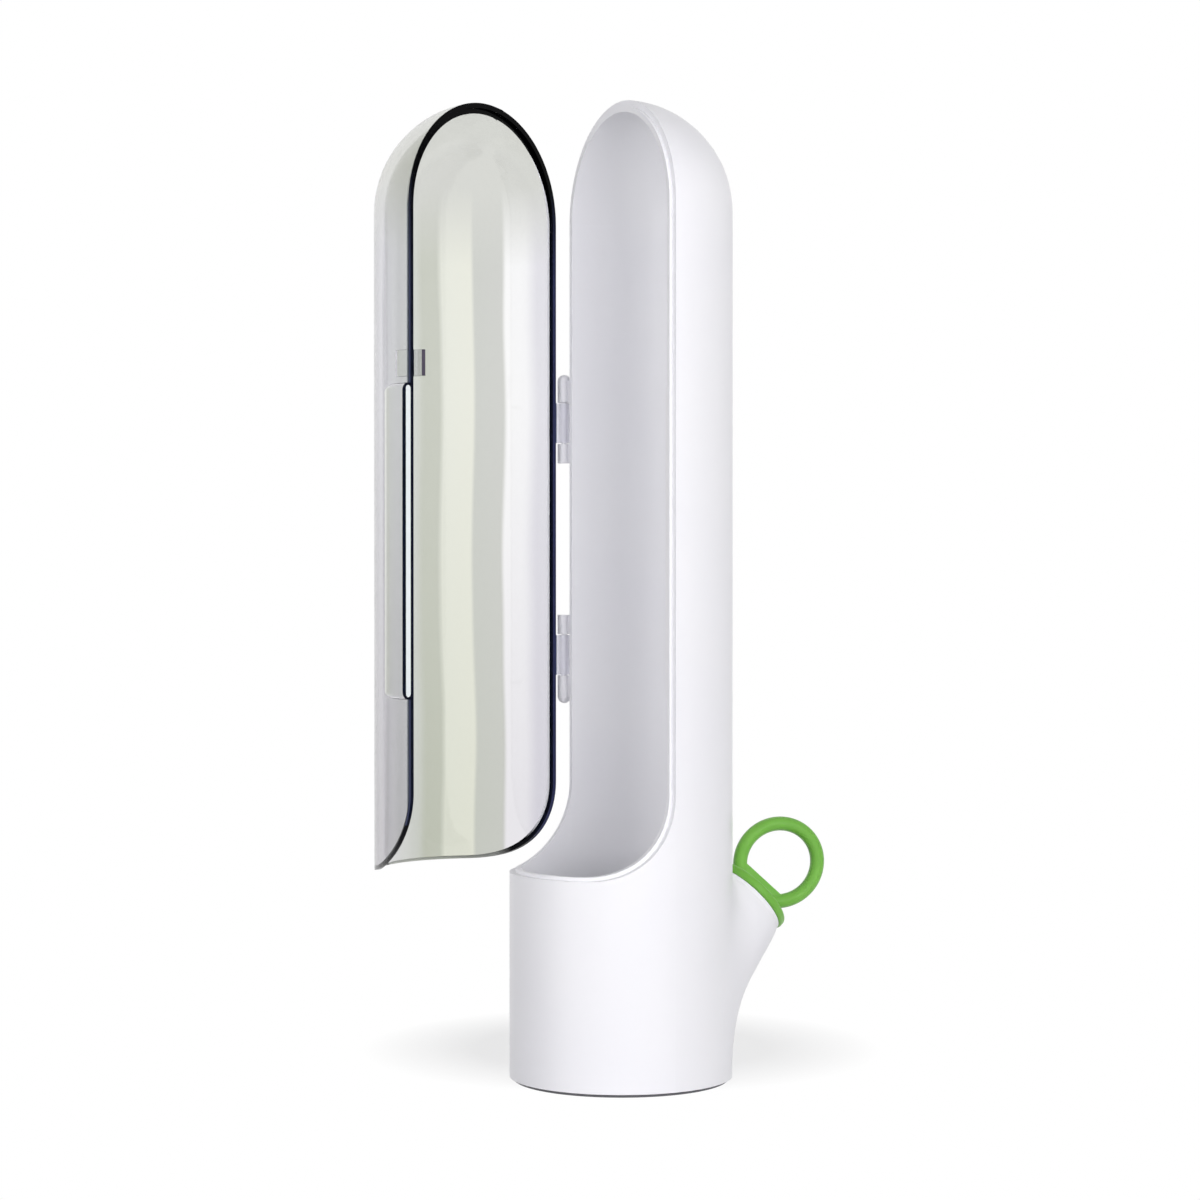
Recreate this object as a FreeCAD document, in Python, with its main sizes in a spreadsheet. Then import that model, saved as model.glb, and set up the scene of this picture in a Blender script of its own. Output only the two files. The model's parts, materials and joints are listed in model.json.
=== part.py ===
"""Countertop herb keeper: a white water cup and back shell, a clear hinged door and a green fill plug.

Frame: millimetres, +Z up, origin at the centre of the underside.  The opening faces -Y, the fill
spout points to +Y, the door is hinged on the -X side and its free edge closes on the +X side.
Every shape is made with the door closed and the plug local to its own axis, and is then placed.
"""
import FreeCAD, Part
import math
import os

doc = FreeCAD.newDocument("herb_keeper")
sheet = doc.addObject("Spreadsheet::Sheet", "Dims")

# Driving dimensions: alias, value, what it is.
DIMENSIONS = [
    # overall form
    ("outer_radius", 32.5, "outside radius of the cup, back shell and door"),
    ("overall_height", 284.5, "underside to the top of the dome"),
    ("wall", 3.4, "wall of the cup and back shell"),
    # seam between body and door
    ("tongue_width", 1.6, "radial width of the tongue on the inner half of the body's seam"),
    ("tongue_height", 1.0, "how far the tongue stands proud of the seam"),
    ("cup_rim_height", 60.5, "height of the cup's front rim"),
    ("seam_corner_radius", 24.0, "seen from the side, curve from the rim up into the seam"),
    ("latch_land_proud", 0.7, "inward step of the latch land behind the seam"),
    ("latch_land_depth", 4.0, "how far the latch land runs back from the seam"),
    ("latch_land_length", 87.4, "height of the latch land"),
    ("latch_land_centre", 156.0, "height of the latch land's middle"),
    # door
    ("door_wall", 3.0, "wall of the clear door"),
    ("door_gap", 0.3, "gap between the door's edge and the body's seam"),
    ("door_lip_gap", 0.3, "radial gap between the door's lip and the tongue"),
    ("open_angle", 67.0, "how far the door stands open at rest, degrees"),
    # grip and latch tab on the door's free edge
    ("grip_length", 90.0, "height of the grip"),
    ("grip_centre", 156.4, "height of the grip's middle above the underside"),
    ("grip_proud", 2.7, "how far the grip flares out at the free edge"),
    ("grip_reach", 12.0, "how far the grip runs back from the free edge"),
    ("grip_end_radius", 2.3, "rounding of the grip's two ends"),
    ("tab_height", 7.5, "height of the latch tab"),
    ("tab_rise", 2.1, "distance of the tab above the grip"),
    ("tab_reach", 1.2, "how far the tab reaches past the seam"),
    ("tab_thickness", 1.5, "thickness of the tab"),
    ("tab_clearance", 0.4, "gap between the tab and the body's inner face"),
    ("tab_root_start", 1.8, "distance of the tab's root from the seam"),
    ("tab_root_length", 5.5, "length of the tab's root along the wall"),
    # hinge
    ("hinge_offset", 3.55, "hinge axis outside the outer radius"),
    ("barrel_radius", 2.05, "outside radius of the hinge barrels"),
    ("hinge_centre", 157.6, "height of the hinge's middle above the underside"),
    ("hinge_spread", 49.6, "middle of the hinge to the outer end of either hinge unit"),
    ("long_knuckle", 8.4, "length of the body's end knuckle, dome included"),
    ("door_knuckle", 12.0, "length of the door's knuckle"),
    ("short_knuckle", 5.8, "length of the body's inner knuckle"),
    ("knuckle_gap", 0.25, "gap between two knuckles"),
    ("hinge_web", 2.0, "thickness of the webs that carry the barrels"),
    ("pin_radius", 0.9, "hinge pin radius"),
    ("pin_seat_gap", 0.01, "radial gap of the pin in the body's knuckles"),
    ("pin_running_gap", 0.05, "radial gap of the pin in the door's knuckle"),
    ("pin_end_wall", 1.6, "plastic beyond the pin in the domed knuckle"),
    # fill spout
    ("mouth_reach", 42.4, "mouth centre behind the body's axis"),
    ("mouth_height", 50.2, "mouth centre above the underside"),
    ("mouth_tilt", 48.0, "angle of the mouth's axis from vertical, degrees"),
    ("spout_radius", 13.0, "outside radius of the spout at its mouth"),
    ("spout_flare", 0.22, "growth of the spout's radius for each mm below its mouth"),
    ("spout_blend", 8.0, "softness of the curve between spout and cup"),
    ("spout_top_blend", 3.0, "softness of that curve beside the mouth"),
    ("spout_wall", 2.6, "wall of the spout and its collar"),
    ("collar_radius", 12.6, "outside radius of the collar round the mouth"),
    ("collar_height", 1.3, "height of the collar above the spout"),
    ("bore_radius", 10.4, "radius of the mouth's bore"),
    ("bore_depth", 12.0, "depth of the mouth's round bore"),
    # fill plug
    ("flange_radius", 13.1, "radius of the plug's flange"),
    ("flange_thickness", 2.6, "thickness of the flange"),
    ("flange_rounding", 0.9, "rounding of the flange's edges"),
    ("flange_gap", 0.1, "gap between flange and collar"),
    ("stem_radius", 9.7, "radius of the plug's stem"),
    ("stem_length", 9.0, "length of the stem below the flange"),
    ("stem_wall", 2.0, "wall of the hollow stem"),
    ("rib_gap", 0.1, "gap between the sealing ribs and the bore"),
    ("rib_height", 1.6, "height of each sealing rib"),
    ("rib_pitch", 3.6, "distance from rib to rib"),
    ("ring_reach", 12.5, "centre-line radius of the pull ring along the pull"),
    ("ring_spread", 11.3, "centre-line radius of the pull ring across the pull"),
    ("ring_thickness", 4.2, "radial thickness of the pull ring"),
    ("ring_width", 4.2, "width of the pull ring"),
    ("ring_rounding", 2.0, "rounding of the ring's section"),
    ("ring_centre", 15.4, "centre of the pull ring above the mouth"),
    ("ring_turn", 26.0, "turn of the pull ring about the mouth's axis, degrees"),
    ("ring_web_top", 7.8, "top of the web that closes the foot of the ring"),
    ("ring_web_width", 3.4, "width of that web"),
    # base
    ("base_flange_thickness", 0.9, "thickness of the base cap's rim under the body"),
    ("base_flange_inset", 1.2, "how far that rim stands in from the outer radius"),
    ("base_rounding", 0.3, "rounding of that rim's edges"),
    ("base_seam_gap", 0.1, "gap between the body and the base cap's rim"),
    ("base_floor", 2.6, "thickness of the base cap's floor"),
    ("base_skirt_height", 7.0, "height of the base cap's skirt"),
    ("base_skirt_wall", 3.2, "wall of the base cap's skirt"),
    ("base_fit_gap", 0.1, "radial gap between skirt and body"),
    ("base_hollow_height", 0.9, "depth of the ring-shaped hollow under the base cap"),
    ("base_foot_width", 4.0, "width of the foot outside that hollow"),
    ("base_pad_radius", 20.0, "radius of the flat pad inside that hollow"),
    ("gasket_section", 1.6, "height and depth of the base gasket"),
    ("gasket_height", 4.2, "underside of the gasket above the table"),
    ("gasket_gap", 0.03, "gap round the gasket"),
]

for row, (alias, value, meaning) in enumerate(DIMENSIONS, start=1):
    sheet.set(f"A{row}", alias)
    sheet.set(f"B{row}", str(value))
    sheet.setAlias(f"B{row}", alias)
    sheet.set(f"C{row}", meaning)
doc.recompute()

CUT_MARGIN = 20.0  # how far cutting tools reach past what they cut
FLAT = 0.001       # extent below which an edge counts as flat

# Expressions that several sub-parts share.
DOME_CENTRE = "(Dims.overall_height - Dims.outer_radius)"
SHELL_FOOT = "(Dims.base_flange_thickness + Dims.base_seam_gap)"
INNER_RADIUS = "(Dims.outer_radius - Dims.wall)"
TONGUE_RADIUS = "(Dims.outer_radius - Dims.wall + Dims.tongue_width)"
RABBET_RADIUS = "(Dims.outer_radius - Dims.wall + Dims.tongue_width + Dims.door_lip_gap)"
HINGE_X = "(-Dims.outer_radius - Dims.hinge_offset)"


def size(alias):
    """Value of a driving dimension."""
    return float(sheet.get(alias))


def bind(obj, **expressions):
    """Bind properties of an object to expressions; a double underscore stands for a dot."""
    for name, expression in expressions.items():
        obj.setExpression(name.replace("__", "."), expression)
    return obj


def at(obj, x="0", y="0", z="0"):
    """Bind the position of an object."""
    return bind(obj, Placement__Base__x=x, Placement__Base__y=y, Placement__Base__z=z)


def box(name, x0, x1, y0, y1, z0, z1):
    """Block between two corners, each given as an expression."""
    obj = doc.addObject("Part::Box", name)
    bind(obj, Length=f"({x1}) - ({x0})", Width=f"({y1}) - ({y0})", Height=f"({z1}) - ({z0})")
    return at(obj, x0, y0, z0)


def cylinder(name, radius, z0, z1, x="0", y="0"):
    """Upright cylinder between two heights."""
    obj = doc.addObject("Part::Cylinder", name)
    bind(obj, Radius=radius, Height=f"({z1}) - ({z0})")
    return at(obj, x, y, z0)


def sphere(name, radius, x="0", y="0", z="0"):
    """Ball at a point."""
    obj = doc.addObject("Part::Sphere", name)
    bind(obj, Radius=radius)
    return at(obj, x, y, z)


def fuse(name, *shapes, refine=True):
    """One solid from several that overlap; refine merges faces that continue each other."""
    obj = doc.addObject("Part::MultiFuse", name)
    obj.Shapes = list(shapes)
    obj.Refine = refine
    return obj


def common(name, *shapes):
    """What several shapes share."""
    obj = doc.addObject("Part::MultiCommon", name)
    obj.Shapes = list(shapes)
    obj.Refine = True
    return obj


def cut(name, base, *tools):
    """Base less every tool, one after the other."""
    result = base
    for index, tool in enumerate(tools, start=1):
        step = doc.addObject("Part::Cut", name if index == len(tools) else f"{name}_step{index}")
        step.Base = result
        step.Tool = tool
        step.Refine = True
        result = step
    return result


def capsule(name, radius, z0):
    """Upright cylinder from a height up to the dome, closed by a half ball."""
    barrel = cylinder(f"{name}_barrel", radius, z0, DOME_CENTRE)
    dome = sphere(f"{name}_dome", radius, z=DOME_CENTRE)
    return fuse(name, barrel, dome)


def front_region(name, setback):
    """Everything in front of and above the seam, drawn back from it by a distance."""
    reach = f"Dims.outer_radius + {CUT_MARGIN}"
    top = f"Dims.overall_height + {CUT_MARGIN}"
    floor = f"Dims.cup_rim_height + ({setback})"
    corner_z = "Dims.cup_rim_height + Dims.seam_corner_radius"
    upper = box(f"{name}_upper", f"-({reach})", reach, f"-({reach})", f"-({setback})", corner_z, top)
    lower = box(f"{name}_lower", f"-({reach})", reach, f"-({reach})", "-Dims.seam_corner_radius",
                floor, top)
    corner = doc.addObject("Part::Cylinder", f"{name}_corner")
    corner.Placement.Rotation = FreeCAD.Rotation(FreeCAD.Vector(0, 1, 0), 90)
    bind(corner, Radius=f"Dims.seam_corner_radius - ({setback})", Height=f"2 * ({reach})")
    at(corner, f"-({reach})", "-Dims.seam_corner_radius", corner_z)
    return fuse(name, upper, lower, corner)


def round_ends(name, base, radius_alias, extent="ZLength"):
    """Fillet on the end edges of a cylinder or ring: those with no extent along its axis."""
    doc.recompute()
    radius = size(radius_alias)
    obj = doc.addObject("Part::Fillet", name)
    obj.Base = base
    obj.Edges = [(i, radius, radius) for i, edge in enumerate(base.Shape.Edges, start=1)
                 if getattr(edge.BoundBox, extent) < FLAT]
    return obj


# --------------------------------------------------------------------------- fill spout

# The back of the cup and spout is one surface, laid through points found on rays from a point inside
# the cup.  The rays pass through a grid on the cup's wall.  The form runs on past the mouth, and is
# cut off there.
RAY_POINT_BACK = 0.5      # distance of the rays' point behind the body's axis, in outer radii
RAY_POINT_BELOW = 16.7    # distance of the rays' point below the mouth's centre
SPOUT_HALF_ANGLE = 83.0   # how far the rays fan out to each side, degrees
SPOUT_COLUMNS = 76        # spans of the surface across the fan
SPOUT_ROWS = 56           # spans of the surface in height
SPOUT_FOOT = 1.5          # height of the surface's lower edge above the body's foot
SPOUT_TOP = 3.0           # height of the surface's upper edge above the spout's radius
SPOUT_BURIED = 0.08       # depth of the surface inside the wall where the spout has run out
SPOUT_INWARD = 0.65       # reach of the filled spout into the cup, in outer radii
SPOUT_BLEND_DEPTH = 10.0  # distance below the mouth at which the blend has its full softness
SPOUT_RUN_ON = 9.0        # how far the form runs on past the mouth before it is cut off
RUN_ON_SOFTNESS = 14.0    # softness of the form's end there
RAY_STEP = 1.5            # step of the search along a ray
RAY_HALVINGS = 16         # halvings of that step to find the surface


def soft_min(a, b, softness):
    """Lesser of two distances, with the corner between them rounded."""
    overlap = max(softness - abs(a - b), 0.0) / softness
    return min(a, b) - overlap * overlap * softness / 4


def blended_form():
    """Function that gives the signed distance to cup and spout blended; negative inside them."""
    tilt = math.radians(size("mouth_tilt"))
    axis_y, axis_z = math.sin(tilt), math.cos(tilt)
    mouth_y, mouth_z = size("mouth_reach"), size("mouth_height")
    mouth_radius, flare = size("spout_radius"), size("spout_flare")
    cup_radius = size("outer_radius")
    least, most = size("spout_top_blend"), size("spout_blend")

    def distance(x, y, z):
        depth = -((y - mouth_y) * axis_y + (z - mouth_z) * axis_z)
        across = (y - mouth_y) * axis_z - (z - mouth_z) * axis_y
        flank = math.hypot(x, across) - mouth_radius - flare * depth
        spout = -soft_min(-flank, depth + SPOUT_RUN_ON, RUN_ON_SOFTNESS)
        share = min(max(depth / SPOUT_BLEND_DEPTH, 0.0), 1.0)
        share = share * share * (3 - 2 * share)
        return soft_min(math.hypot(x, y) - cup_radius, spout, least + (most - least) * share)

    return distance


def surface_point(distance, start, target, reach):
    """Point of a form on the ray from a start through a target, sunk a little below its surface."""
    ray = (target - start).normalize()
    inner = reach
    while distance(*(start + ray * inner)) > 0:
        inner -= RAY_STEP
    outer = inner + RAY_STEP
    for _ in range(RAY_HALVINGS):
        middle = (inner + outer) / 2
        if distance(*(start + ray * middle)) > 0:
            outer = middle
        else:
            inner = middle
    return start + ray * (inner - SPOUT_BURIED)


def wall_point(angle, height):
    """Point of the cup's wall on a level line from the rays' upright at an angle from +Y."""
    radius = size("outer_radius")
    back = RAY_POINT_BACK * radius
    run = math.sqrt(radius ** 2 - (back * math.sin(angle)) ** 2) - back * math.cos(angle)
    return FreeCAD.Vector(run * math.sin(angle), back + run * math.cos(angle), height)


def make_spout_surface():
    """Back surface of cup and spout, laid through points found on the blended form."""
    distance = blended_form()
    start = FreeCAD.Vector(0, RAY_POINT_BACK * size("outer_radius"),
                           size("mouth_height") - RAY_POINT_BELOW)
    reach = 2 * (size("mouth_reach") + size("spout_radius"))
    low = size("base_flange_thickness") + size("base_seam_gap") + SPOUT_FOOT
    high = size("mouth_height") + size("spout_radius") + SPOUT_TOP
    widest = math.radians(SPOUT_HALF_ANGLE)
    angles = [widest * (2 * i / SPOUT_COLUMNS - 1) for i in range(SPOUT_COLUMNS + 1)]
    heights = [low + (high - low) * j / SPOUT_ROWS for j in range(SPOUT_ROWS + 1)]
    surface = Part.BSplineSurface()
    surface.interpolate([[surface_point(distance, start, wall_point(angle, height), reach)
                          for angle in angles] for height in heights])
    obj = doc.addObject("Part::Feature", "spout_surface")
    obj.Shape = surface.toShape()
    return obj


def on_mouth(obj, depth="0"):
    """Stand an object on the mouth's plane, a depth below it, with its Z along the mouth's axis."""
    obj.Placement.Rotation = FreeCAD.Rotation(FreeCAD.Vector(-1, 0, 0), size("mouth_tilt"))
    bind(obj, Placement__Rotation__Angle="Dims.mouth_tilt")
    return at(obj, "0", f"Dims.mouth_reach - ({depth}) * sin(Dims.mouth_tilt * 1deg)",
              f"Dims.mouth_height - ({depth}) * cos(Dims.mouth_tilt * 1deg)")


def mouth_cylinder(name, radius, depth, height):
    """Cylinder along the mouth's axis that starts a depth below the mouth."""
    obj = doc.addObject("Part::Cylinder", name)
    bind(obj, Radius=radius, Height=height)
    return on_mouth(obj, depth)


def make_spout_solid():
    """The spout filled solid, with its collar; it reaches into the cup's hollow."""
    back = doc.addObject("Part::Extrusion", "spout_back")
    back.Base = make_spout_surface()
    back.DirMode = "Custom"
    back.Dir = FreeCAD.Vector(0, -1, 0)
    back.Solid = True
    bind(back, LengthFwd=f"{SPOUT_INWARD} * Dims.outer_radius")
    beyond = mouth_cylinder("beyond_mouth", "2 * Dims.outer_radius", "Dims.collar_height",
                            "2 * Dims.outer_radius")
    collar = mouth_cylinder("spout_collar", "Dims.collar_radius", "Dims.collar_height + Dims.spout_wall",
                            "Dims.collar_height + Dims.spout_wall")
    return [cut("spout_trimmed", back, beyond), collar]


def make_spout_hollow():
    """Round bore for the plug, and the wider passage from there down into the cup."""
    bore = mouth_cylinder("spout_bore", "Dims.bore_radius", "Dims.bore_depth", "2 * Dims.bore_depth")
    passage = doc.addObject("Part::Cone", "spout_passage")
    inside = "Dims.spout_radius - Dims.spout_wall + Dims.spout_flare"
    passage_end = "3 * Dims.bore_depth"
    bind(passage, Radius1=f"{inside} * {passage_end}", Radius2=f"{inside} * Dims.bore_depth",
         Height=f"{passage_end} - Dims.bore_depth")
    on_mouth(passage, passage_end)
    return [bore, passage]


# --------------------------------------------------------------------------- hinge

def hinge_levels(side):
    """Heights of a hinge unit's knuckles; side is 1 for the upper unit and -1 for the lower."""
    end = f"(Dims.hinge_centre + {side} * Dims.hinge_spread)"
    long_end = f"({end} - {side} * Dims.long_knuckle)"
    door_start = f"({long_end} - {side} * Dims.knuckle_gap)"
    door_end = f"({door_start} - {side} * Dims.door_knuckle)"
    short_start = f"({door_end} - {side} * Dims.knuckle_gap)"
    short_end = f"({short_start} - {side} * Dims.short_knuckle)"
    return end, long_end, door_start, door_end, short_start, short_end


def ordered(side, outer, inner):
    """The lower and the higher of two heights of a hinge unit."""
    return (inner, outer) if side > 0 else (outer, inner)


def knuckle(name, side, outer, inner, web_y0, web_y1):
    """Barrel on the hinge axis with the web that joins it to a wall."""
    z0, z1 = ordered(side, outer, inner)
    barrel = cylinder(f"{name}_barrel", "Dims.barrel_radius", z0, z1, x=HINGE_X)
    web = box(f"{name}_web", HINGE_X, "-Dims.outer_radius + 0.5 * Dims.wall", web_y0, web_y1, z0, z1)
    return [barrel, web]


HINGE_UNITS = ((1, "upper"), (-1, "lower"))


def make_pin(side, unit):
    """Steel pin of one hinge unit."""
    end, _, _, _, _, short_end = hinge_levels(side)
    z0, z1 = ordered(side, f"({end} - {side} * (Dims.pin_end_wall + Dims.knuckle_gap))", short_end)
    return cylinder(f"hinge_pin_{unit}", "Dims.pin_radius", z0, z1, x=HINGE_X)


# --------------------------------------------------------------------------- keeper body

def make_latch_land():
    """Raised land on the shell's inner face, behind the seam on the free side."""
    half = "0.5 * Dims.latch_land_length"
    ring = cut("land_ring",
               cylinder("land_outer", f"{INNER_RADIUS} + 0.5 * Dims.wall",
                        f"Dims.latch_land_centre - {half}", f"Dims.latch_land_centre + {half}"),
               cylinder("land_inner", f"{INNER_RADIUS} - Dims.latch_land_proud", "0",
                        "Dims.overall_height"))
    zone = box("land_zone", "0", "Dims.outer_radius", "-Dims.tongue_height", "Dims.latch_land_depth",
               "0", "Dims.overall_height")
    return common("latch_land", ring, zone)


def make_body():
    """One moulding: cup, half shell with its dome, latch land, hinge knuckles and fill spout."""
    outer = capsule("body_outer", "Dims.outer_radius", SHELL_FOOT)
    filled = fuse("body_filled", outer, *make_spout_solid())
    hollow = cut("body_hollow", filled, capsule("body_cavity", INNER_RADIUS, "0"),
                 *make_spout_hollow())
    shell = fuse("body_shell", hollow, make_latch_land())
    beside_tongue = cut("beside_tongue", front_region("seam_zone", "0"),
                        capsule("tongue_core", TONGUE_RADIUS, "0"))
    seamed = cut("body_seamed", shell, beside_tongue,
                 front_region("tongue_zone", "Dims.tongue_height"))
    knuckles = []
    bores = []
    for side, unit in HINGE_UNITS:
        end, long_end, _, _, short_start, short_end = hinge_levels(side)
        dome = f"({end} - {side} * Dims.barrel_radius)"
        knuckles += knuckle(f"{unit}_long", side, dome, long_end, "0", "Dims.hinge_web")
        knuckles.append(sphere(f"{unit}_long_dome", "Dims.barrel_radius", x=HINGE_X, z=dome))
        knuckles += knuckle(f"{unit}_short", side, short_start, short_end, "0", "Dims.hinge_web")
        z0, z1 = ordered(side, f"({end} - {side} * Dims.pin_end_wall)",
                         f"({short_end} - {side} * Dims.knuckle_gap)")
        bores.append(cylinder(f"{unit}_pin_bore", "Dims.pin_radius + Dims.pin_seat_gap", z0, z1,
                              x=HINGE_X))
    jointed = fuse("body_with_knuckles", seamed, *knuckles, refine=False)
    return cut("keeper_body", jointed, *bores)


# --------------------------------------------------------------------------- clear door

def make_grip():
    """Flare on the free edge: a smaller cylinder that leaves the wall and stands proud at the edge."""
    proud = "(Dims.outer_radius + Dims.grip_proud)"
    wall_x = "sqrt(Dims.outer_radius ^ 2 - Dims.grip_reach ^ 2)"
    centre = f"(({proud} ^ 2 - Dims.outer_radius ^ 2) / (2 * ({proud} - {wall_x})))"
    blank = cylinder("grip_blank", f"{proud} - {centre}",
                     "Dims.grip_centre - 0.5 * Dims.grip_length",
                     "Dims.grip_centre + 0.5 * Dims.grip_length", x=centre)
    ends = round_ends("grip_rounded", blank, "grip_end_radius")
    front = box("grip_zone", "0", proud, f"-{proud}", "-Dims.door_gap", "0", "Dims.overall_height")
    core = cylinder("grip_core", RABBET_RADIUS, "0", "Dims.overall_height")
    return cut("grip", common("grip_front", ends, front), core)


def make_tab():
    """Latch tab that passes inside the body's wall, and its root on the door's wall."""
    face = f"({INNER_RADIUS} - Dims.tab_clearance)"
    back = f"({face} - Dims.tab_thickness)"
    z0 = "Dims.grip_centre + 0.5 * Dims.grip_length + Dims.tab_rise"
    z1 = f"{z0} + Dims.tab_height"
    root_end = "-(Dims.tab_root_start + Dims.tab_root_length)"
    blade = box("tab_blade", back, face, root_end, "Dims.tab_reach", z0, z1)
    root = box("tab_root", back, "Dims.outer_radius - 0.7 * Dims.door_wall", root_end,
               "-Dims.tab_root_start", z0, z1)
    return [blade, root]


def make_door():
    """Clear half capsule with its lip, grip, latch tab and two hinge knuckles."""
    wall = cut("door_wall_solid", capsule("door_outer", "Dims.outer_radius", "0"),
               capsule("door_inner", "Dims.outer_radius - Dims.door_wall", "0"))
    half = common("door_half", wall, front_region("door_zone", "Dims.door_gap"))
    rabbet = cut("door_rabbet", capsule("rabbet_core", RABBET_RADIUS, "0"),
                 front_region("rabbet_zone", "Dims.tongue_height + Dims.door_gap"))
    lipped = cut("door_lipped", half, rabbet)
    knuckles = []
    bores = []
    for side, unit in HINGE_UNITS:
        _, _, door_start, door_end, _, _ = hinge_levels(side)
        knuckles += knuckle(f"{unit}_door", side, door_start, door_end, "-Dims.hinge_web",
                            "-Dims.door_gap")
        z0, z1 = ordered(side, f"({door_start} + {side} * Dims.knuckle_gap)",
                         f"({door_end} - {side} * Dims.knuckle_gap)")
        bores.append(cylinder(f"{unit}_door_bore", "Dims.pin_radius + Dims.pin_running_gap", z0, z1,
                              x=HINGE_X))
    solid = fuse("door_solid", lipped, make_grip(), *make_tab(), *knuckles)
    door = cut("clear_door", solid, *bores)
    door.Placement.Rotation = FreeCAD.Rotation(FreeCAD.Vector(0, 0, -1), size("open_angle"))
    bind(door, Placement__Rotation__Angle="Dims.open_angle")
    return at(door, f"{HINGE_X} * (1 - cos(Dims.open_angle * 1deg))",
              f"{HINGE_X} * sin(Dims.open_angle * 1deg)", "0")


# --------------------------------------------------------------------------- fill plug

def ring_disc(name, side, width):
    """Oval disc on edge about the pull ring's centre; side is 1 for its outside and -1 for its hole."""
    oval = doc.addObject("Part::Ellipse", f"{name}_oval")
    oval.Placement.Rotation = FreeCAD.Rotation(FreeCAD.Vector(0, 1, 0), -90)
    offset = f"{side} * 0.5 * Dims.ring_thickness"
    bind(oval, MajorRadius=f"Dims.ring_reach + {offset}", MinorRadius=f"Dims.ring_spread + {offset}")
    disc = doc.addObject("Part::Extrusion", name)
    disc.Base = at(oval, "0", "0", "Dims.ring_centre")
    disc.DirMode = "Normal"
    disc.Solid = True
    disc.Symmetric = True
    bind(disc, LengthFwd=width)
    return disc


def make_ring():
    """Pull ring with a rounded section, standing on edge, and the web that closes its foot."""
    blank = cut("ring_blank", ring_disc("ring_outer", 1, "Dims.ring_width"),
                ring_disc("ring_inner", -1, "Dims.ring_width"))
    ring = round_ends("ring", blank, "ring_rounding", extent="XLength")
    foot = box("web_zone", "-Dims.ring_width", "Dims.ring_width", "-Dims.ring_spread",
               "Dims.ring_spread", "0", "Dims.ring_web_top")
    web = common("ring_web", ring_disc("web_disc", 0, "Dims.ring_web_width"), foot)
    whole = fuse("pull_ring", ring, web)
    whole.Placement.Rotation = FreeCAD.Rotation(FreeCAD.Vector(0, 0, -1), size("ring_turn"))
    bind(whole, Placement__Rotation__Angle="Dims.ring_turn")
    return whole


def make_plug():
    """Soft plug: flange on the collar, hollow stem with sealing ribs in the bore, pull ring."""
    disc = cylinder("plug_disc", "Dims.flange_radius", "Dims.flange_gap",
                    "Dims.flange_gap + Dims.flange_thickness")
    flange = round_ends("plug_flange", disc, "flange_rounding")
    stem_end = "(Dims.flange_gap - Dims.stem_length)"
    stem = cylinder("plug_stem", "Dims.stem_radius", stem_end, "Dims.flange_gap")
    hollow = cylinder("plug_hollow", "Dims.stem_radius - Dims.stem_wall", stem_end,
                      "Dims.flange_gap - Dims.stem_wall")
    ribs = []
    for index in (1, 2):
        z1 = f"(Dims.flange_gap - {index} * Dims.rib_pitch + 0.5 * Dims.rib_height)"
        ribs.append(cylinder(f"plug_rib{index}", "Dims.bore_radius - Dims.rib_gap",
                             f"{z1} - Dims.rib_height", z1))
    tube = cut("plug_tube", fuse("plug_stem_ribbed", stem, *ribs), hollow)
    return on_mouth(fuse("fill_plug", flange, tube, make_ring()))


# --------------------------------------------------------------------------- base

def make_base_cap():
    """Cap that closes the cup from below: a rim to stand on, a floor and a skirt with a groove."""
    disc = cylinder("base_disc", "Dims.outer_radius - Dims.base_flange_inset", "0",
                    "Dims.base_flange_thickness")
    rim = round_ends("base_rim", disc, "base_rounding")
    skirt_top = "Dims.base_flange_thickness + Dims.base_skirt_height"
    skirt_radius = f"({INNER_RADIUS} - Dims.base_fit_gap)"
    skirt = cylinder("base_skirt", skirt_radius, "0", skirt_top)
    inside = cylinder("base_inside", f"{skirt_radius} - Dims.base_skirt_wall",
                      "Dims.base_hollow_height + Dims.base_floor", f"{skirt_top} + Dims.wall")
    foot_radius = "Dims.outer_radius - Dims.base_flange_inset - Dims.base_foot_width"
    below = cut("base_hollow",
                cylinder("base_hollow_outer", foot_radius, "-Dims.wall", "Dims.base_hollow_height"),
                cylinder("base_pad", "Dims.base_pad_radius", "-Dims.wall", "Dims.base_hollow_height"))
    groove = cut("base_groove",
                 cylinder("groove_outer", "Dims.outer_radius", f"Dims.gasket_height - Dims.gasket_gap",
                          "Dims.gasket_height + Dims.gasket_section + Dims.gasket_gap"),
                 cylinder("groove_inner", f"{INNER_RADIUS} - Dims.gasket_section - 2 * Dims.gasket_gap",
                          "0", skirt_top))
    return cut("base_cap", fuse("base_solid", rim, skirt), inside, below, groove)


def make_gasket():
    """Square-section sealing ring in the base cap's groove."""
    top = "Dims.gasket_height + Dims.gasket_section"
    return cut("base_gasket",
               cylinder("gasket_outer", f"{INNER_RADIUS} - Dims.gasket_gap", "Dims.gasket_height", top),
               cylinder("gasket_inner", f"{INNER_RADIUS} - Dims.gasket_gap - Dims.gasket_section",
                        "0", f"{top} + Dims.wall"))


# --------------------------------------------------------------------------- build and write

NODES = [make_body(), make_door(), make_plug(), make_base_cap(), make_gasket()]
NODES += [make_pin(side, unit) for side, unit in HINGE_UNITS]
for node in NODES:
    node.Label = node.Name
doc.recompute()

for obj in doc.Objects:
    if "Invalid" in obj.State or "Error" in obj.State:
        raise RuntimeError(f"{obj.Name} failed: {obj.State}")
for node in NODES:
    shape = node.Shape
    if shape.isNull() or not shape.isValid() or len(shape.Solids) != 1:
        raise RuntimeError(f"{node.Label} isn't one valid solid")

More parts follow.
